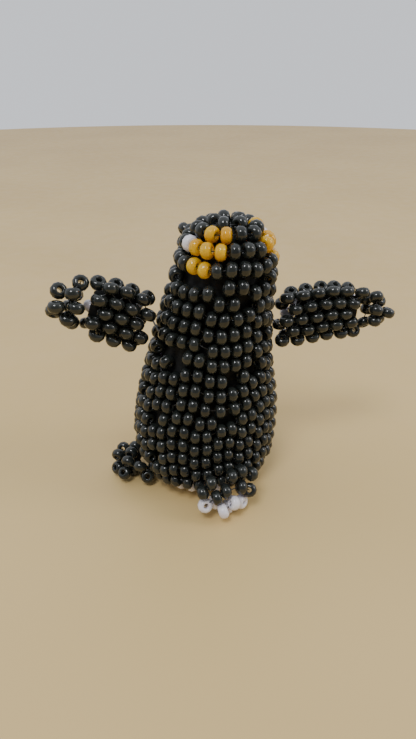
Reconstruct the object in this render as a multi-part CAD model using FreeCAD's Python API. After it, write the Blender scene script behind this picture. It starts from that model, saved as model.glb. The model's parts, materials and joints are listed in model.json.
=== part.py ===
import FreeCAD, Part
import bisect
import math
import os
import random

# A hand-stitched penguin of glass seed beads, standing with its wings held out.
# Millimetres. It looks along -Y, its left side is +X, and it stands on z = 0.

# seed bead, size 10/0
bead_diameter = 2.7
bead_length = 1.8
bead_hole = 0.9
bead_edge = 0.68            # rounding between the round side and the flat ends
bead_room = 0.03            # least gap left between two beads
bead_tilt = 3.5             # degrees a bead sits off true in the stitching
course_rise = 2.72          # one bead on top of the next in a column
look_ahead = 2.0            # a column ends this far before the room for it is gone
snug = 0.965               # share of the room round a course that beads take
limb_snug = 0.965           # the same on flat limbs, where courses lock into each other

# body and head in one tube
body_half_width = 12.5      # to the middle of the bead layer, at the widest
body_half_depth = 10.1
head_top = 50.1             # middle of the topmost beads
body_floor = 2.1            # middle of the beads under the body
head_turn = 13.0            # degrees the head looks to its own left
eye_height = 47.8

# wings
wing_length_left = 15.8
wing_length_right = 21.2
wing_half_width_left = 4.7
wing_half_width_right = 4.85
wing_half_thickness = 1.8
wing_rise_left = 20.0
wing_rise_right = -3.0
wing_arch = 1.0             # how far the middle of a wing bows up
wing_sweep = 3.0            # degrees the wings point back
shoulder_left = 34.2
shoulder_right = 32.0
shoulder_gap = 0.45         # open seam between wing and body, where it folds

# feet
foot_length = 8.1
foot_half_width = 3.8
heel_out_left = 9.8         # middle of each heel, sideways and forward
heel_out_right = 7.3
heel_forward_left = 0.6
heel_forward_right = 4.2
splay_left = 32.0           # degrees forward of straight sideways
splay_right = 51.0

# tail and beak
tail_length = 7.4
tail_half_width = 5.6
beak_length = 4.6

# thread and stuffing
thread_diameter = 0.3
stuffing_gap = 0.14

bead_radius = bead_diameter / 2
seed = 11


def vector(x, y, z):
    return FreeCAD.Vector(x, y, z)


def unit(v):
    return v * (1.0 / v.Length)


# ---------------------------------------------------------------- one bead
def make_bead():
    half = bead_length / 2
    shoulder = bead_radius - bead_edge
    hole = bead_hole / 2
    bow = bead_edge * math.sin(math.radians(45))
    left_mid = vector(-half + bead_edge - bow, shoulder + bow, 0)
    right_mid = vector(half - bead_edge + bow, shoulder + bow, 0)
    corners = [
        vector(-half, hole, 0),
        vector(-half, shoulder, 0),
        vector(-half + bead_edge, bead_radius, 0),
        vector(half - bead_edge, bead_radius, 0),
        vector(half, shoulder, 0),
        vector(half, hole, 0),
    ]
    edges = [
        Part.makeLine(corners[0], corners[1]),
        Part.Arc(corners[1], left_mid, corners[2]).toShape(),
        Part.makeLine(corners[2], corners[3]),
        Part.Arc(corners[3], right_mid, corners[4]).toShape(),
        Part.makeLine(corners[4], corners[5]),
        Part.makeLine(corners[5], corners[0]),
    ]
    face = Part.Face(Part.Wire(edges))
    return face.revolve(vector(0, 0, 0), vector(1, 0, 0), 360)


def bead_room_on(bend_radius):
    """Length one bead takes along a course that bends with this radius."""
    inside = max(bend_radius - bead_radius + bead_edge, 0.45)
    outside = max(bend_radius, 0.45 + bead_radius - bead_edge)
    return 2 * outside * math.atan((bead_length + bead_room) / 2 / inside)


# ------------------------------------------------- an oval tube to bead over
class Tube:
    """Oval sections along an axis. A station is (along, half_u, half_v, shift_u, shift_v)."""

    def __init__(self, origin, along, u, v, stations, fullness=2.0):
        self.origin = origin
        self.power = 2.0 / fullness
        self.w = unit(along)
        self.u = unit(u)
        self.v = unit(v)
        self.ovals = {}
        self.rows = self.smooth(stations)
        self.length = [0.0]
        for one, two in zip(self.rows, self.rows[1:]):
            rise = two[0] - one[0]
            spread = (two[1] + two[2] - one[1] - one[2]) / 2
            self.length.append(self.length[-1] + math.hypot(rise, spread))

    def smooth(self, stations, steps=8):
        rows = []
        last = len(stations) - 1
        for i in range(last):
            p0 = stations[max(i - 1, 0)]
            p1 = stations[i]
            p2 = stations[i + 1]
            p3 = stations[min(i + 2, last)]
            for k in range(steps):
                s = k / steps
                row = []
                for a, b, c, d in zip(p0, p1, p2, p3):
                    bend = (2 * a - 5 * b + 4 * c - d) * s * s
                    twist = (3 * b - a - 3 * c + d) * s ** 3
                    row.append((2 * b + (c - a) * s + bend + twist) / 2)
                rows.append(row)
        rows.append(list(stations[last]))
        return rows

    @property
    def end(self):
        return self.length[-1]

    def section(self, t):
        t = min(max(t, 0.0), self.end)
        i = min(max(bisect.bisect_right(self.length, t) - 1, 0), len(self.rows) - 2)
        gap = self.length[i + 1] - self.length[i]
        s = (t - self.length[i]) / gap if gap > 0 else 0.0
        return [a + (b - a) * s for a, b in zip(self.rows[i], self.rows[i + 1])]

    def radius(self, t):
        row = self.section(t)
        return (max(row[1], 0.01) + max(row[2], 0.01)) / 2

    def rim(self, a, b, angle):
        """Point of an oval with half axes a and b."""
        c = math.cos(angle)
        s = math.sin(angle)
        return a * math.copysign(abs(c) ** self.power, c), b * math.copysign(abs(s) ** self.power, s)

    def spacing(self, a, b):
        """How many beads fit round an oval up to each angle; tight bends take fewer."""
        key = (round(max(a, 0.1), 1), round(max(b, 0.1), 1))
        if key not in self.ovals:
            count = 120
            dots = [self.rim(key[0], key[1], 2 * math.pi * k / count) for k in range(count)]
            total = [0.0]
            for k in range(count):
                x0, y0 = dots[k - 4]
                x1, y1 = dots[k]
                x2, y2 = dots[(k + 1) % count]
                x3, y3 = dots[(k + 5) % count]
                arc = math.hypot(x3 - x2, y3 - y2) + math.hypot(x2 - x1, y2 - y1)
                arc += math.hypot(x1 - x0, y1 - y0)
                one = math.atan2(y1 - y0, x1 - x0)
                two = math.atan2(y3 - y2, x3 - x2)
                bend = max((two - one) % (2 * math.pi), 1e-3)
                bend = bend if bend < math.pi else 1e-3
                total.append(total[-1] + math.hypot(x2 - x1, y2 - y1) / bead_room_on(arc / bend))
            self.ovals[key] = total
        return self.ovals[key]

    def fits(self, t):
        row = self.section(t)
        return self.spacing(row[1], row[2])[-1]

    def point(self, t, fraction):
        along, a, b, shift_u, shift_v = self.section(t)
        total = self.spacing(a, b)
        wanted = fraction % 1.0 * total[-1]
        i = min(bisect.bisect_right(total, wanted) - 1, len(total) - 2)
        part = (wanted - total[i]) / (total[i + 1] - total[i])
        x, y = self.rim(a, b, 2 * math.pi * (i + part) / (len(total) - 1))
        return self.origin + self.w * along + self.u * (shift_u + x) + self.v * (shift_v + y)

    def frame(self, t, fraction):
        """Middle of a bead, the way up the tube, the way round it and length per turn."""
        t = min(max(t, 0.05), self.end - 0.05)
        ring = 0.01
        up = unit(self.point(t + 0.05, fraction) - self.point(t - 0.05, fraction))
        round_ = self.point(t, fraction + ring) - self.point(t, fraction - ring)
        reach = round_.Length / (2 * ring)
        round_ = unit(round_ - up * round_.dot(up))
        return self.point(t, fraction), up, round_, reach

    def stuffing(self, start, stop, thinnest):
        """Solid that fills the tube up to the inside of its beads."""
        inset = bead_radius + stuffing_gap
        wires = []
        count = max(int((stop - start) / 2.2), 5)
        for k in range(count + 1):
            t = start + (stop - start) * k / count
            low = self.section(t - 0.3)
            high = self.section(t + 0.3)
            rise = high[0] - low[0]
            spread = (high[1] + high[2] - low[1] - low[2]) / 2
            run = math.hypot(rise, spread)
            along, a, b, shift_u, shift_v = self.section(t)
            a -= inset * rise / run
            b -= inset * rise / run
            along += inset * spread / run
            if min(a, b) < thinnest:
                continue
            middle = self.origin + self.w * along + self.u * shift_u + self.v * shift_v
            points = []
            for j in range(16):
                x, y = self.rim(a, b, 2 * math.pi * j / 16)
                points.append(middle + self.u * x + self.v * y)
            curve = Part.BSplineCurve()
            curve.interpolate(Points=points, PeriodicFlag=True)
            wires.append(Part.Wire(curve.toShape()))
        return Part.makeLoft(wires, True, False)


# ------------------------------------------------------- columns of beads
def lead_columns(tube, widest, stop, columns, drop, fill):
    """Follow the columns from the widest course to one end, dropping some as it narrows."""
    way = 1 if stop > widest else -1
    step = 0.1
    paths = [[(widest, f)] for f in columns]
    place = list(columns)
    closed = {}
    picked = 0
    t = widest
    while (stop - t) * way > 0:
        t += way * step
        ahead = t + way * look_ahead
        ahead = min(ahead, stop) if way > 0 else max(ahead, stop)
        open_ = [c for c in range(len(columns)) if c not in closed]
        if len(open_) > max(tube.fits(ahead) * fill / drop, 2):
            picked += 1
            wanted = picked * 0.618034 % 1.0
            nearest = min(open_, key=lambda c: abs((place[c] - wanted + 0.5) % 1.0 - 0.5))
            closed[nearest] = t
            open_.remove(nearest)
        weight = []
        for c in range(len(columns)):
            past = abs(t - closed[c]) - bead_radius if c in closed else 0.0
            ease = min(max(past / (0.8 * bead_diameter), 0.0), 1.0)
            weight.append(1.0 - ease * ease * (3 - 2 * ease))
        total = sum(weight)
        before = 0.0
        fresh = []
        for w in weight:
            fresh.append((before + w / 2) / total)
            before += w
        drift = [(fresh[c] - place[c] + 0.5) % 1.0 - 0.5 for c in open_]
        drift = sum(drift) / len(drift)
        place = [(f - drift) % 1.0 for f in fresh]
        for c in open_:
            paths[c].append((t, place[c]))
    return paths


def tilted(t, fraction, rng):
    return [t, fraction] + [math.radians(rng.gauss(0, bead_tilt / 2)) for _ in range(2)]


def lay_columns(tube, start, stop, drop, fill, rng):
    """Beads as [t, fraction, tilt_up, tilt_out], in columns that sit half a bead apart."""
    steps = [start + (stop - start) * k / 60 for k in range(61)]
    widest = max(steps, key=tube.fits)
    count = int(tube.fits(widest) * fill / drop + 0.01)
    count -= count % 2
    columns = [(c + 0.5) / count for c in range(count)]
    beads = []
    for stop_at in (stop, start):
        if stop_at == widest:
            continue
        way = 1 if stop_at > widest else -1
        for c, path in enumerate(lead_columns(tube, widest, stop_at, columns, drop, fill)):
            offset = (c % 2) * course_rise / 2
            t = widest + offset if way > 0 else widest + offset - course_rise
            marks = [way * mark[0] for mark in path]
            while way * t <= way * path[-1][0]:
                i = min(bisect.bisect_left(marks, way * t), len(path) - 1)
                for k in range(drop):
                    aside = (k - (drop - 1) / 2) / tube.fits(t)
                    beads.append(tilted(t, path[i][1] + aside, rng))
                t += way * course_rise
    return beads


def lay_rings(tube, first, last, fill, rng):
    """Plain rings that close a rounded end."""
    beads = []
    way = 1 if last > first else -1
    t = first
    while way * t <= way * last + 0.01:
        count = max(int(tube.fits(t) * fill), 3)
        begin = rng.random()
        for k in range(count):
            beads.append(tilted(t, begin + k / count, rng))
        t += way * course_rise
    return beads


def pose(tube, bead):
    """Middle of the bead, its hole direction, and the two ways it can slide."""
    middle, up, round_, reach = tube.frame(bead[0], bead[1])
    out = round_.cross(up)
    hole = unit(round_ + up * bead[2] + out * bead[3])
    return middle, hole, up, round_, reach


def into_core(point, middle, hole):
    """Nearest point of a bead's inner drum: the bead is that drum grown by its edge radius."""
    away = point - middle
    along = away.dot(hole)
    side = away - hole * along
    reach = bead_radius - bead_edge
    limit = bead_length / 2 - bead_edge
    if side.Length > reach:
        side = side * (reach / side.Length)
    return middle + side + hole * min(max(along, -limit), limit)


def gap_between(one, two, rounds=12):
    """Clear gap between two beads and the direction from the first to the second."""
    a = (one[0] + two[0]) * 0.5
    b = a
    for _ in range(rounds):
        a = into_core(b, one[0], one[1])
        b = into_core(a, two[0], two[1])
    way = b - a
    if way.Length < 1e-6:
        apart = two[0] - one[0]
        return apart.Length - bead_diameter, unit(apart)
    return way.Length - 2 * bead_edge, unit(way)


def neighbours(poses, reach):
    boxes = {}
    for i, p in enumerate(poses):
        key = tuple(int(math.floor(x / reach)) for x in p[0])
        boxes.setdefault(key, []).append(i)
    pairs = []
    for key, members in boxes.items():
        for dx in (-1, 0, 1):
            for dy in (-1, 0, 1):
                for dz in (-1, 0, 1):
                    other = boxes.get((key[0] + dx, key[1] + dy, key[2] + dz), [])
                    for i in members:
                        for j in other:
                            if i < j and (poses[i][0] - poses[j][0]).Length < reach:
                                pairs.append((i, j))
    return pairs


def settle(tube, beads, low, high, rounds=36):
    """Let the beads push each other along the tube until none overlap."""
    for turn_ in range(rounds):
        poses = [pose(tube, b) for b in beads]
        if turn_ % 6 == 0:
            pairs = neighbours(poses, bead_diameter * 1.25)
        push = [[0.0, 0.0] for _ in beads]
        for i, j in pairs:
            if (poses[i][0] - poses[j][0]).Length > bead_diameter + bead_room:
                continue
            gap, way = gap_between(poses[i], poses[j])
            short = bead_room * 1.6 - gap
            if short <= 0:
                continue
            for k, sign in ((i, -0.55), (j, 0.55)):
                push[k][0] += sign * short * way.dot(poses[k][2])
                push[k][1] += sign * short * way.dot(poses[k][3])
        for bead, (up, side), p in zip(beads, push, poses):
            bead[0] = min(max(bead[0] + max(min(up, 0.4), -0.4), low), high)
            bead[1] += max(min(side, 0.4), -0.4) / max(p[4], 0.5)
    return [pose(tube, b)[:2] for b in beads]


def keep_clear(beads, others):
    """Leave out a bead that still touches one already placed."""
    kept = list(others)
    fresh = []
    for bead in beads:
        near = [k for k in kept if (k[0] - bead[0]).Length < bead_diameter]
        if all(gap_between(bead, k, 20)[0] > 0.0 for k in near):
            kept.append(bead)
            fresh.append(bead)
    return fresh


# ------------------------------------------------------------ body and head
def oval(height, wide, deep, sideways, back):
    return (height, wide, deep, sideways, back)


def body_tube():
    w = body_half_width
    d = body_half_depth
    top = head_top
    low = body_floor
    stations = [
        oval(low, 0.4, 0.4, 0.0, 1.2),
        oval(low + 0.05, 0.33 * w, 0.33 * d, 0.0, 1.3),
        oval(low + 0.4, 0.62 * w, 0.64 * d, 0.0, 1.4),
        oval(low + 1.9, 0.82 * w, 0.84 * d, 0.0, 1.0),
        oval(low + 4.7, 0.945 * w, 0.95 * d, 0.0, 0.4),
        oval(low + 9.2, w, d, 0.0, -0.1),
        oval(17.2, 0.965 * w, 0.985 * d, -0.2, 0.1),
        oval(22.0, 0.885 * w, 0.93 * d, -0.3, 0.4),
        oval(27.0, 0.80 * w, 0.86 * d, -0.5, 0.9),
        oval(31.5, 0.735 * w, 0.80 * d, -0.9, 1.4),
        oval(35.5, 0.68 * w, 0.75 * d, -1.3, 1.9),
        oval(39.5, 0.635 * w, 0.72 * d, -1.9, 2.4),
        oval(43.0, 0.60 * w, 0.71 * d, -2.4, 2.7),
        oval(top - 5.0, 0.56 * w, 0.69 * d, -2.7, 2.8),
        oval(top - 2.8, 0.495 * w, 0.625 * d, -2.8, 2.8),
        oval(top - 1.2, 0.375 * w, 0.48 * d, -2.9, 2.8),
        oval(top - 0.3, 0.21 * w, 0.265 * d, -2.9, 2.8),
        oval(top, 0.4, 0.4, -2.9, 2.8),
    ]
    return Tube(vector(0, 0, 0), vector(0, 0, 1), vector(1, 0, 0), vector(0, 1, 0), stations)


def bearing_from_back(point, centre, turned):
    """Degrees round from straight behind, positive towards the penguin's left."""
    away = point - centre
    angle = math.degrees(math.atan2(away.x, away.y))
    return (angle + turned + 180.0) % 360.0 - 180.0


def body_colour(tube, point):
    height = point.z
    row = min(tube.rows, key=lambda r: abs(r[0] - height))
    centre = vector(row[3], row[4], height)
    body_side = abs(bearing_from_back(point, centre, 0.0))
    if height < body_floor + 1.2:
        return "belly_beads"
    if height < 32.0 and body_side > 118.0:
        return "belly_beads"
    if 32.0 <= height < 37.0 and body_side > 138.0:
        return "breast_beads"
    if height < 39.0:
        return "back_beads"
    bearing = bearing_from_back(point, centre, head_turn)
    side = "left" if bearing > 0 else "right"
    away = abs(bearing)
    patch = (
        46.5 <= height < 49.1 and 34.0 < away < 80.0
        or 43.9 <= height < 46.5 and 48.0 < away < 84.0
        or 41.4 <= height < 43.9 and 62.0 < away < 90.0
    )
    if patch:
        return side + "_ear_patch_beads"
    return "head_beads"


def sort_body(tube, beads):
    groups = {}
    for bead in beads:
        groups.setdefault(body_colour(tube, bead[0]), []).append(bead)
    for side, sign in (("left", 1), ("right", -1)):
        turned = math.radians(90.0 * sign - head_turn)
        row = min(tube.rows, key=lambda r: abs(r[0] - eye_height))
        look = vector(math.sin(turned), math.cos(turned), 0)
        spot = vector(row[3], row[4], eye_height) + look * row[1]
        names = ["head_beads", side + "_ear_patch_beads"]
        choices = [(b, n) for n in names for b in groups.get(n, [])]
        eye, name = min(choices, key=lambda c: (c[0][0] - spot).Length)
        groups[name].remove(eye)
        groups[side + "_eye_bead"] = [eye]
    return groups


# -------------------------------------------------------------------- limbs
def body_side_at(tube, height):
    row = min(tube.rows, key=lambda r: abs(r[0] - height))
    return row[1], row[3], row[4]


def wing_tube(body, side, height, rise, length, w):
    half, sideways, back = body_side_at(body, height)
    out = half + bead_diameter + shoulder_gap
    rise = math.radians(rise)
    sweep = math.radians(wing_sweep)
    along = vector(side * math.cos(rise) * math.cos(sweep), math.sin(sweep), math.sin(rise))
    origin = vector(sideways + side * out, back + 0.4, height)
    v = vector(0, 1, 0)
    v = unit(v - along * v.dot(along))
    u = along.cross(v) * side
    if u.z < 0:
        u = u * -1.0
    k = wing_half_thickness
    stations = [
        (0.0, 0.95 * w, 0.88 * k, 0, 0),
        (0.15 * length, w, 0.98 * k, 0.3 * wing_arch, 0),
        (0.4 * length, 0.98 * w, k, 0.9 * wing_arch, 0),
        (0.62 * length, 0.87 * w, 0.97 * k, wing_arch, 0),
        (0.8 * length, 0.68 * w, 0.88 * k, 0.8 * wing_arch, 0),
        (0.92 * length, 0.45 * w, 0.75 * k, 0.4 * wing_arch, 0),
        (length, 0.22 * w, 0.5 * k, 0.1 * wing_arch, 0),
    ]
    return Tube(origin, along, u, v, stations, 2.6)


def foot_tube(side, heel_out, heel_forward, splay):
    splay = math.radians(splay)
    along = vector(side * math.cos(splay), -math.sin(splay), 0)
    across = vector(side * math.sin(splay), math.cos(splay), 0)
    start = vector(side * heel_out, -heel_forward, 0)
    w = foot_half_width
    n = foot_length
    stations = []
    for part, wide, tall in ((0.0, 0.80, 1.5), (0.22, 0.97, 1.85), (0.5, 1.0, 1.9),
                             (0.75, 0.90, 1.75), (0.93, 0.62, 1.5), (1.0, 0.36, 1.3)):
        stations.append((part * n, wide * w, tall, 0.0, tall + bead_radius))
    return Tube(start, along, across, vector(0, 0, 1), stations, 2.6)


def tail_tube():
    along = vector(0, 0.47, -0.88)
    origin = vector(0.4, 10.7, 1.9 + 0.88 * tail_length)
    out = vector(0, 0.88, 0.47)
    w = tail_half_width
    n = tail_length
    stations = [
        (0.0, w, 1.6, 0, 0),
        (0.35 * n, w, 1.6, 0, 0),
        (0.7 * n, 0.8 * w, 1.45, 0, 0),
        (n, 0.45 * w, 1.2, 0, 0),
    ]
    return Tube(origin, along, vector(1, 0, 0), out, stations)


def beak_tube(body):
    height = 45.2
    half, sideways, back = body_side_at(body, height)
    deep = min(body.rows, key=lambda r: abs(r[0] - height))[2]
    turned = math.radians(head_turn)
    look = vector(math.sin(turned), -math.cos(turned), 0)
    origin = vector(sideways, back, height) + look * (deep + bead_diameter - 0.3)
    across = vector(math.cos(turned), math.sin(turned), 0)
    along = unit(look + vector(0, 0, -0.12))
    stations = [
        (0.0, 2.0, 1.75, 0, 0),
        (0.5 * beak_length, 1.8, 1.6, 0, 0),
        (beak_length, 1.3, 1.2, 0, 0),
    ]
    return Tube(origin, along, across, vector(0, 0, 1), stations)


def beaded(tube, start, stop, caps, drop, fill, others, rng, rounds=100):
    """Columns from start to stop, rings beyond them out to the two caps."""
    beads = lay_columns(tube, start, stop, drop, fill, rng)
    if caps[0] < start:
        beads += lay_rings(tube, start - course_rise, caps[0], fill, rng)
    if caps[1] > stop:
        beads += lay_rings(tube, stop + course_rise, caps[1], fill, rng)
    kept = keep_clear(settle(tube, beads, caps[0], caps[1], rounds), others)
    print(len(kept), "beads placed,", len(beads) - len(kept), "left out for want of room")
    return kept


# -------------------------------------------------------------- writing out
def placed(bead_shape, bead):
    middle, hole = bead
    turn_ = FreeCAD.Rotation(vector(1, 0, 0), hole)
    copy = bead_shape.copy()
    copy.Placement = FreeCAD.Placement(middle, turn_)
    return copy


def write(name, shape):
    shape.exportStep("parts/" + name + ".step")
    print(name, len(shape.Solids), "solids")


def write_beads(groups, bead_shape):
    for name in sorted(groups):
        if not groups[name]:
            continue
        copies = [placed(bead_shape, b) for b in groups[name]]
        write(name, Part.makeCompound(copies) if len(copies) > 1 else copies[0])


def main():
    os.makedirs("parts", exist_ok=True)
    rng = random.Random(seed)
    bead_shape = make_bead()
    groups = {}

    body = body_tube()
    apex = 1.5
    low = apex + 4 * course_rise
    high = body.end - apex - 4 * course_rise
    body_beads = beaded(body, low, high, (apex, body.end - apex), 2, snug, [], rng, 140)
    groups.update(sort_body(body, body_beads))
    write("body_stuffing", body.stuffing(0.6, body.end - 0.6, 1.0))

    wings = (
        ("left", 1, shoulder_left, wing_rise_left, wing_length_left, wing_half_width_left),
        ("right", -1, shoulder_right, wing_rise_right, wing_length_right, wing_half_width_right),
    )
    for name, side, height, rise, length, width in wings:
        wing = wing_tube(body, side, height, rise, length, width)
        tip = wing.end - 0.6
        beads = beaded(wing, 0.0, tip - 2 * course_rise, (0.0, tip), 1, limb_snug, body_beads, rng)
        dark = []
        pale = []
        for bead in beads:
            local = bead[0] - wing.origin
            under = local.dot(wing.v) < -0.75 * wing_half_thickness
            inner = abs(local.dot(wing.u) - 0.7 * wing_arch) < 0.5 * width
            near = 1.0 < local.dot(wing.w) < 0.72 * length
            (pale if under and inner and near else dark).append(bead)
        groups[name + "_wing_beads"] = dark
        groups[name + "_wing_lining_beads"] = pale
        write(name + "_wing_stuffing", wing.stuffing(0.3, wing.end - 1.6, 0.2))
        pivot = wing.origin - wing.w * (bead_radius + shoulder_gap / 2)
        print(name, "wing hinge at", [round(x / 1000, 6) for x in pivot])
        run = wing_half_thickness * 2 + bead_radius
        thread = Part.makeCylinder(thread_diameter / 2, run, pivot - vector(0, run / 2, 0), vector(0, 1, 0))
        write(name + "_wing_hinge_thread", thread)

    feet = (
        ("left", 1, heel_out_left, heel_forward_left, splay_left),
        ("right", -1, heel_out_right, heel_forward_right, splay_right),
    )
    for name, side, heel_out, heel_forward, splay in feet:
        foot = foot_tube(side, heel_out, heel_forward, splay)
        toe = foot.end - 0.4
        beads = beaded(foot, 0.0, toe - 2 * course_rise, (0.0, toe), 1, limb_snug, body_beads, rng)
        sole = [b for b in beads if b[0].z < bead_radius + 0.35]
        groups[name + "_foot_sole_beads"] = sole
        groups[name + "_foot_beads"] = [b for b in beads if b not in sole]
        write(name + "_foot_stuffing", foot.stuffing(0.45 * foot.end, foot.end - 0.8, 0.1))

    tail = tail_tube()
    tip = tail.end - 0.1
    beads = beaded(tail, 0.0, tip - course_rise, (0.0, tip), 1, limb_snug, body_beads, rng)
    last_row = [b for b in beads if (b[0] - tail.origin).dot(tail.w) > tail_length - 0.6 * course_rise]
    groups["tail_tip_beads"] = last_row
    rest = [b for b in beads if b not in last_row]
    groups["tail_top_beads"] = [b for b in rest if (b[0] - tail.origin).dot(tail.v) > -0.2]
    groups["tail_lining_beads"] = [b for b in rest if (b[0] - tail.origin).dot(tail.v) <= -0.2]

    beak = beak_tube(body)
    beads = beaded(beak, 0.0, beak.end, (0.0, beak.end), 1, limb_snug, body_beads, rng)
    groups["beak_beads"] = beads

    write_beads(groups, bead_shape)


main()
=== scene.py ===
import json
import math
import random

import bmesh
import bpy
import numpy as np
from mathutils import Matrix, Vector, kdtree


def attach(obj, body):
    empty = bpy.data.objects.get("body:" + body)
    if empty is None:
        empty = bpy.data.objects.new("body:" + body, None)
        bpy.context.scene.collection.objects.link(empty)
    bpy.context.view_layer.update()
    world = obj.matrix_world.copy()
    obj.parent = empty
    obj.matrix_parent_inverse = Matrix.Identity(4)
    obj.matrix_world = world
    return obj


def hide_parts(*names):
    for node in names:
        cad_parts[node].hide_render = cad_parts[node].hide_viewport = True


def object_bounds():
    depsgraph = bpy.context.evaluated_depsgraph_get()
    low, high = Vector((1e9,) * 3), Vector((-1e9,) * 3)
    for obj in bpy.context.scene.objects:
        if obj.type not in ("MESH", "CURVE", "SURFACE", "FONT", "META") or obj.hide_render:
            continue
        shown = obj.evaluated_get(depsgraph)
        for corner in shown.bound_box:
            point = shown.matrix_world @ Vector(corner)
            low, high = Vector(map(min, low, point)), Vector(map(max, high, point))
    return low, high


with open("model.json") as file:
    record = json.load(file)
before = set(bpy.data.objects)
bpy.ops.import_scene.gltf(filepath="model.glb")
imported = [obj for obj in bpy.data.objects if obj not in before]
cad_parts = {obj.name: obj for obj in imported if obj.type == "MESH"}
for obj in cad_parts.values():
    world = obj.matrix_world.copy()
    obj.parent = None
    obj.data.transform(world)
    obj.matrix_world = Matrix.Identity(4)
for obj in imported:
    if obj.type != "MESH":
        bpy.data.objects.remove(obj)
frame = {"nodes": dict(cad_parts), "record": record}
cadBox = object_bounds()
rng = random.Random(5)
nodes = frame["nodes"]
slotOf = {part["node"]: part["material_slot"] for part in frame["record"]["subparts"]}
bodyOf = {}
for bodyName, members in frame["record"]["behaviour"]["bodies"].items():
    for member in members:
        bodyOf[member] = bodyName


print("glass, cotton and thread")
surface = {
    "noiseLow": 0.3,          # stretch of the noise that the roughness follows
    "noiseHigh": 0.7,
    "shadeFirst": 0.35,       # stretch of the noise over which one tint gives way to the other
    "shadeSecond": 0.65,
    "batchDetail": 1.0,
    "polishDetail": 4.0,
    "dentDetail": 3.0,
    "dentStrength": 0.35,
    "milkDepth": (0.0012, 0.0011, 0.0012),
}


def newMaterial(name):
    mat = bpy.data.materials.new(name)
    mat.use_nodes = True
    return mat, mat.node_tree.nodes, mat.node_tree.links, mat.node_tree.nodes["Principled BSDF"]


def cloud(n, links, size, detail):
    # soft noise in the object's own coordinates, size in lumps per metre
    where = n.new("ShaderNodeTexCoord")
    noise = n.new("ShaderNodeTexNoise")
    noise.inputs["Scale"].default_value = size
    noise.inputs["Detail"].default_value = detail
    links.new(where.outputs["Object"], noise.inputs["Vector"])
    return noise.outputs["Fac"]


def between(n, links, amount, low, high):
    spread = n.new("ShaderNodeMapRange")
    spread.inputs["From Min"].default_value = surface["noiseLow"]
    spread.inputs["From Max"].default_value = surface["noiseHigh"]
    spread.inputs["To Min"].default_value = low
    spread.inputs["To Max"].default_value = high
    links.new(amount, spread.inputs["Value"])
    return spread.outputs["Result"]


def shade(n, links, amount, first, second):
    ramp = n.new("ShaderNodeValToRGB")
    ramp.color_ramp.elements[0].position = surface["shadeFirst"]
    ramp.color_ramp.elements[0].color = first
    ramp.color_ramp.elements[1].position = surface["shadeSecond"]
    ramp.color_ramp.elements[1].color = second
    links.new(amount, ramp.inputs["Fac"])
    return ramp.outputs["Color"]


def ripple(n, links, shader, size, height):
    bump = n.new("ShaderNodeBump")
    bump.inputs["Strength"].default_value = surface["dentStrength"]
    bump.inputs["Distance"].default_value = height
    links.new(cloud(n, links, size, surface["dentDetail"]), bump.inputs["Height"])
    links.new(bump.outputs["Normal"], shader.inputs["Normal"])


def makeMaterial(name, look):
    mat, n, links, shader = newMaterial(name)
    batch = cloud(n, links, look["batch"], surface["batchDetail"])     # neighbouring beads differ a little
    links.new(shade(n, links, batch, look["tint"], look["otherTint"]), shader.inputs["Base Color"])
    polish = cloud(n, links, look["polish"], surface["polishDetail"])
    links.new(between(n, links, polish, look["rough"], look["dull"]), shader.inputs["Roughness"])
    shader.inputs["IOR"].default_value = look["ior"]
    if "clear" in look:
        shader.inputs["Transmission Weight"].default_value = look["clear"]
    if "milk" in look:
        shader.inputs["Subsurface Weight"].default_value = look["milk"]
        shader.inputs["Subsurface Radius"].default_value = surface["milkDepth"]
        shader.inputs["Subsurface Scale"].default_value = 1.0
    ripple(n, links, shader, look["polish"], look["dent"])
    return mat


blackGlass = {"tint": (0.013, 0.0155, 0.0145, 1), "otherTint": (0.020, 0.0235, 0.021, 1), "batch": 320,
              "rough": 0.05, "dull": 0.13, "polish": 900, "dent": 0.000008, "ior": 1.52}
whiteGlass = {"tint": (0.80, 0.78, 0.84, 1), "otherTint": (0.74, 0.71, 0.78, 1), "batch": 320,
              "rough": 0.12, "dull": 0.24, "polish": 900, "dent": 0.000008, "ior": 1.5, "milk": 0.3}
amberGlass = {"tint": (1.0, 0.66, 0.02, 1), "otherTint": (0.95, 0.50, 0.01, 1), "batch": 320,
              "rough": 0.03, "dull": 0.09, "polish": 900, "dent": 0.000008, "ior": 1.5, "clear": 0.4}
silverLining = {"tint": (1.0, 0.85, 0.30, 1), "otherTint": (1.0, 0.74, 0.16, 1), "batch": 500,
                "rough": 0.25, "dull": 0.4, "polish": 900, "dent": 0.00002, "ior": 1.5}
darkCotton = {"tint": (0.009, 0.010, 0.010, 1), "otherTint": (0.018, 0.018, 0.017, 1), "batch": 900,
              "rough": 0.85, "dull": 1.0, "polish": 2600, "dent": 0.0002, "ior": 1.4}
nylon = {"tint": (0.020, 0.021, 0.022, 1), "otherTint": (0.05, 0.05, 0.05, 1), "batch": 700,
         "rough": 0.3, "dull": 0.45, "polish": 2600, "dent": 0.00002, "ior": 1.5}

materials = {
    "black_glass": makeMaterial("blackGlass", blackGlass),
    "white_glass": makeMaterial("whiteGlass", whiteGlass),
    "amber_glass": makeMaterial("amberGlass", amberGlass),
    "stuffing": makeMaterial("darkCotton", darkCotton),
    "thread": makeMaterial("nylonThread", nylon),
}
lining = makeMaterial("silverLining", silverLining)


print("one seed bead")
bead = {
    "radius": 0.00135,
    "half": 0.0009,
    "segments": 11,
    "wall": 0.4,              # faces nearer the axis than this share of the radius line the hole
    "merge": 0.000002,
    "round": ((-0.86, 0.34), (-1.0, 0.50), (-0.80, 0.82), (-0.32, 1.0),
              (0.32, 1.0), (0.80, 0.82), (1.0, 0.50), (0.86, 0.34)),
}


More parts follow.
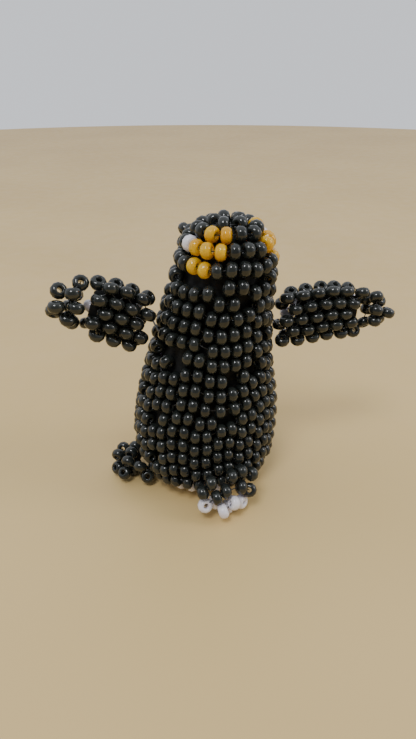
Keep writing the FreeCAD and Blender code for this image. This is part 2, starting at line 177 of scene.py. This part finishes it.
def seedBead():
    # the rim is turned round the hole, which runs along X
    rim = bmesh.new()
    spots = [rim.verts.new((along * bead["half"], 0, out * bead["radius"])) for along, out in bead["round"]]
    loop = [rim.edges.new((one, two)) for one, two in zip(spots, spots[1:] + spots[:1])]
    bmesh.ops.spin(rim, geom=spots + loop, cent=(0, 0, 0), axis=(1, 0, 0), angle=2 * math.pi,
                   steps=bead["segments"], use_merge=True)
    bmesh.ops.remove_doubles(rim, verts=rim.verts, dist=bead["merge"])
    bmesh.ops.recalc_face_normals(rim, faces=rim.faces)
    for face in rim.faces:
        middle = face.calc_center_median()
        face.smooth = True
        if math.hypot(middle.y, middle.z) < bead["wall"] * bead["radius"]:
            face.material_index = 1
    mesh = bpy.data.meshes.new("seedBead")
    rim.to_mesh(mesh)
    rim.free()
    return mesh


beadMesh = seedBead()


sameSpotDigits = 7      # metres, so corners within a tenth of a micron are one


def cornersOf(obj):
    # the corners of the node's triangles, and which bead each triangle belongs to:
    # triangles that share a corner carry the same label in the end
    mesh = obj.data
    spots = np.empty(len(mesh.vertices) * 3)
    mesh.vertices.foreach_get("co", spots)
    mesh.calc_loop_triangles()
    corners = np.empty(len(mesh.loop_triangles) * 3, dtype=np.int64)
    mesh.loop_triangles.foreach_get("vertices", corners)
    spots = spots.reshape(-1, 3)[corners]
    merged, same = np.unique(np.round(spots, sameSpotDigits), axis=0, return_inverse=True)
    same = same.reshape(-1, 3)
    label = np.arange(len(merged))
    while True:
        low = label[same].min(axis=1)
        fresh = label.copy()
        for k in range(3):
            np.minimum.at(fresh, same[:, k], low)
        fresh = fresh[fresh]
        if (fresh == label).all():
            break
        label = fresh
    return spots.reshape(-1, 3, 3), label[same[:, 0]]


def seatsIn(obj):
    # middle of each bead and the way its hole runs, which is its shortest way through
    triangles, label = cornersOf(obj)
    order = np.argsort(label, kind="stable")
    cuts = np.flatnonzero(np.diff(label[order])) + 1
    found = []
    for group in np.split(order, cuts):
        middle = triangles[group].mean(axis=(0, 1))
        a, b, c = (triangles[group, k] - middle for k in range(3))
        volume = np.einsum("ij,ij->i", a, np.cross(b, c)) / 6
        whole = a + b + c
        spread = sum(np.einsum("i,ij,ik->jk", volume, p, p) for p in (a, b, c, whole)) / 20
        centre = volume @ whole / 4 / volume.sum()
        spread = spread / volume.sum() - np.outer(centre, centre)
        found.append((Vector(middle + centre), Vector(np.linalg.eigh(spread)[1][:, 0])))
    return found


# how one bead differs from the next
handWork = {"lean": 0.05, "shorter": 0.04, "thinner": 0.03, "shift": 0.00003}
seats = {name: [] for name in frame["record"]["behaviour"]["bodies"]}


def placeCopies(name, shape, places, mats, body):
    # one mesh that holds a copy of the shape at each place
    spots = np.array([tuple(v.co) + (1.0,) for v in shape.vertices])
    rings = [list(face.vertices) for face in shape.polygons]
    tags = [face.material_index for face in shape.polygons]
    allSpots = np.concatenate([spots @ np.array(place).T[:, :3] for place in places])
    allRings = [[v + k * len(spots) for v in ring] for k in range(len(places)) for ring in rings]
    mesh = bpy.data.meshes.new(name)
    mesh.from_pydata(allSpots.tolist(), [], allRings)
    for mat in mats:
        mesh.materials.append(mat)
    mesh.polygons.foreach_set("material_index", tags * len(places))
    mesh.polygons.foreach_set("use_smooth", [True] * len(allRings))
    obj = bpy.data.objects.new(name, mesh)
    bpy.context.scene.collection.objects.link(obj)
    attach(obj, body)
    return obj


def beadGroup(node):
    places = []
    for middle, hole in seatsIn(nodes[node]):
        seats[bodyOf[node]].append((middle, hole))
        lean = Vector([rng.gauss(0, handWork["lean"]) for _ in range(3)])
        shift = Vector([rng.gauss(0, handWork["shift"]) for _ in range(3)])
        turn = (hole + lean).to_track_quat("X", "Z").to_matrix().to_4x4()
        spin = Matrix.Rotation(rng.random() * math.pi, 4, "X")
        thin = 1.0 - handWork["thinner"] * rng.random()
        size = Matrix.Diagonal((1.0 - handWork["shorter"] * rng.random(), thin, thin, 1.0))
        places.append(Matrix.Translation(middle + shift) @ turn @ spin @ size)
    slot = slotOf[node]
    wall = lining if slot == "amber_glass" else materials[slot]
    obj = placeCopies(node + "_glass", beadMesh, places, [materials[slot], wall], bodyOf[node])
    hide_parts(node)


print("bead groups")
for node in nodes:
    if node.endswith("_beads") or node.endswith("_bead"):
        beadGroup(node)
    else:
        shown = nodes[node]
        for place in range(len(shown.material_slots)):
            shown.material_slots[place].material = materials[slotOf[node]]


print("stitches from bead to bead")
stitch = {
    "radius": 0.00009,
    "longest": 0.0019,
    "inside": 0.0005,         # how far each end runs on into its hole
    "mouth": 0.95,            # where a hole's mouth is, as a share of the bead's half length
    "tries": 6,
    "sides": 6,
    "unit": 0.001,
}


def stitchShape():
    # a unit length of thread along Z, both ends closed
    run = bmesh.new()
    bmesh.ops.create_cone(run, cap_ends=True, segments=stitch["sides"], radius1=stitch["radius"],
                          radius2=stitch["radius"], depth=stitch["unit"])
    mesh = bpy.data.meshes.new("stitchShape")
    run.to_mesh(mesh)
    run.free()
    return mesh


def stitchBeads(body, shape):
    # the thread leaves each hole for the nearest hole of another bead
    mouths = []
    for place, (middle, hole) in enumerate(seats[body]):
        for way in (-1, 1):
            mouths.append((place, middle + hole * way * bead["half"] * stitch["mouth"], hole * way))
    tree = kdtree.KDTree(len(mouths))
    for i, mouth in enumerate(mouths):
        tree.insert(mouth[1], i)
    tree.balance()
    places = []
    sewn = set()
    for i, (place, mouth, way) in enumerate(mouths):
        for spot, j, gap in tree.find_n(mouth, stitch["tries"]):
            pair = (min(i, j), max(i, j))
            if mouths[j][0] == place or pair in sewn or gap > stitch["longest"]:
                continue
            sewn.add(pair)
            start = mouth - way * stitch["inside"]
            end = spot - mouths[j][2] * stitch["inside"]
            run = end - start
            seat = Matrix.Translation((start + end) / 2) @ run.to_track_quat("Z", "Y").to_matrix().to_4x4()
            places.append(seat @ Matrix.Diagonal((1, 1, run.length / stitch["unit"], 1)))
            break
    placeCopies(body + "_stitches", shape, places, [materials["thread"]], body)


stitchMesh = stitchShape()
for body in seats:
    stitchBeads(body, stitchMesh)


print("floor, light and camera")
floor = {"radius": 0.6, "back": 0.10, "segments": 128,
         "tint": (0.69, 0.495, 0.215, 1), "otherTint": (0.65, 0.46, 0.195, 1), "batch": 14,
         "rough": 0.45, "dull": 0.6, "polish": 160, "dent": 0.00006, "ior": 1.45}
camera = {"side": 163.0, "tilt": 29.0, "away": 0.088, "height": 0.0715, "right": 0.0004,
          "lens": 26.99, "sensor": 36, "nearest": 0.005}
side = math.radians(camera["side"])
toward = Vector((math.sin(side), -math.cos(side), 0))
rightward = Vector((math.cos(side), math.sin(side), 0))

build = bmesh.new()
bmesh.ops.create_circle(build, cap_ends=True, segments=floor["segments"], radius=floor["radius"],
                        matrix=Matrix.Translation(Vector((0, 0, cadBox[0][2])) - toward * floor["back"]))
mesh = bpy.data.meshes.new("tableTop")
build.to_mesh(mesh)
build.free()
mesh.materials.append(makeMaterial("paleTable", floor))
table = bpy.data.objects.new("tableTop", mesh)
bpy.context.scene.collection.objects.link(table)

cam = bpy.data.objects.new("camera", bpy.data.cameras.new("camera"))
bpy.context.scene.collection.objects.link(cam)
bpy.context.scene.camera = cam
cam.data.lens = camera["lens"]
cam.data.sensor_width = camera["sensor"]
cam.data.clip_start = camera["nearest"]
cam.location = toward * camera["away"] + rightward * camera["right"] + Vector((0, 0, camera["height"]))
cam.rotation_euler = (math.radians(90 - camera["tilt"]), 0, side)

# the room is pale beyond the table and overhead, and dim on the near side
room = {
    "far": (0.60, 0.62, 0.66, 1),
    "above": (0.74, 0.76, 0.80, 1),
    "near": (0.17, 0.17, 0.17, 1),
    "aboveAt": 0.5,           # 0 is straight away from the near side, 1 straight towards it
    "nearAt": 0.86,
    "strength": 1.38,
}


def lightRoom(way):
    world = bpy.data.worlds.new("room")
    bpy.context.scene.world = world
    world.use_nodes = True
    n = world.node_tree.nodes
    links = world.node_tree.links
    where = n.new("ShaderNodeTexCoord")
    nearness = n.new("ShaderNodeVectorMath")
    nearness.operation = "DOT_PRODUCT"
    nearness.inputs[1].default_value = way
    links.new(where.outputs["Generated"], nearness.inputs[0])
    spread = n.new("ShaderNodeMapRange")
    spread.inputs["From Min"].default_value = -1.0
    spread.inputs["From Max"].default_value = 1.0
    links.new(nearness.outputs["Value"], spread.inputs["Value"])
    ramp = n.new("ShaderNodeValToRGB")
    ramp.color_ramp.elements[0].position = 0.0
    ramp.color_ramp.elements[0].color = room["far"]
    ramp.color_ramp.elements[1].position = room["nearAt"]
    ramp.color_ramp.elements[1].color = room["near"]
    overhead = ramp.color_ramp.elements.new(room["aboveAt"])
    overhead.color = room["above"]
    links.new(spread.outputs["Result"], ramp.inputs["Fac"])
    links.new(ramp.outputs["Color"], n["Background"].inputs["Color"])
    n["Background"].inputs["Strength"].default_value = room["strength"]


lightRoom(toward)

lampsAimAt = Vector((0, 0, 0.025))
lamps = {
    "window": {"at": (0.28, 0.35, 0.75), "size": 0.26, "watts": 3.6, "tint": (0.95, 0.97, 1.0)},
    "fill": {"at": (-0.55, 0.25, 0.45), "size": 0.22, "watts": 1.1, "tint": (1.0, 0.97, 0.92)},
}
for name, look in lamps.items():
    lamp = bpy.data.objects.new(name, bpy.data.lights.new(name, "AREA"))
    bpy.context.scene.collection.objects.link(lamp)
    lamp.data.size = look["size"]
    lamp.data.energy = look["watts"]
    lamp.data.color = look["tint"]
    lamp.location = look["at"]
    lamp.rotation_euler = (lampsAimAt - Vector(look["at"])).to_track_quat("-Z", "Y").to_euler()
